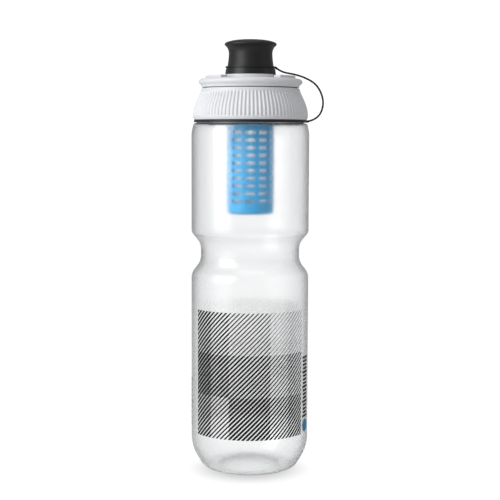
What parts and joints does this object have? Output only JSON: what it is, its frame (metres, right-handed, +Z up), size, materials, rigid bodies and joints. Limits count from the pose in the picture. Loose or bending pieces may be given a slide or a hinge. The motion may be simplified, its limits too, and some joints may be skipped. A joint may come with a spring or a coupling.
{
  "type": "water bottle",
  "caption": "Squeeze bottle for a bicycle cage, with a ribbed screw ring, a push-pull spout under a tethered dust cover, and a filter below the cap.",
  "frame": {"origin": "middle of the foot ring, on the surface that the bottle stands on", "axes": "+Z up along the bottle's axis, +X towards the tether's cord, -Y towards the front of the print"},
  "size_m": [0.0825, 0.0734, 0.2685],
  "materials": {
    "bottle_plastic": "frosted translucent polyethylene, printed with black diagonal stripes",
    "cap_plastic": "satin light grey polypropylene",
    "black_plastic": "satin black polypropylene",
    "white_plastic": "smooth white polypropylene",
    "black_rubber": "soft satin black silicone",
    "white_silicone": "translucent white silicone",
    "blue_plastic": "smooth blue plastic",
    "fibre_white": "white porous hollow fibre",
    "potting_resin": "cast resin"
  },
  "bodies": {
    "bottle": {"bottle_body": "bottle_plastic"},
    "cap_top": {"cap_body": "cap_plastic", "flared_collar": "cap_plastic", "neck_gasket": "white_silicone", "vent_valve": "white_silicone", "nozzle_seat": "black_plastic", "seat_oring": "black_rubber", "sealing_pin": "black_plastic", "filter_adapter": "black_plastic", "adapter_oring": "black_rubber", "tether_neck_ring": "black_rubber", "tether_cord": "black_rubber"},
    "screw_ring": {"screw_ring": "cap_plastic"},
    "spout": {"spout_core": "white_plastic", "mouthpiece": "black_rubber"},
    "dust_cover": {"dust_cover": "black_rubber", "tether_cover_loop": "black_rubber"},
    "filter": {"filter_head": "blue_plastic", "head_orings": "black_rubber", "filter_housing": "blue_plastic", "filter_end_cap": "blue_plastic", "fibre_bundle": "fibre_white", "potting_plug": "potting_resin"}
  },
  "joints": [
    {"name": "cap_lift", "type": "slide", "parent": "bottle", "child": "cap_top", "axis": [0, 0, 1], "range_m": [0, 0.0101]},
    {"name": "ring_turn", "type": "hinge", "parent": "cap_top", "child": "screw_ring", "pos_m": [0, 0, 0.228], "axis": [0, 0, 1], "range_deg": [0, 720]},
    {"name": "spout_pull", "type": "slide", "parent": "cap_top", "child": "spout", "axis": [0, 0, 1], "range_m": [0, 0.006]},
    {"name": "dust_cover_lift", "type": "slide", "parent": "cap_top", "child": "dust_cover", "axis": [0, 0, 1], "range_m": [0, 0.016], "deforming": ["tether_cord"]},
    {"name": "filter_pull", "type": "slide", "parent": "cap_top", "child": "filter", "axis": [0, 0, -1], "range_m": [0, 0.012]}
  ],
  "couplings": [
    {"joint": "cap_lift", "follows": "ring_turn", "m_per_rad": 0.00079577}
  ]
}
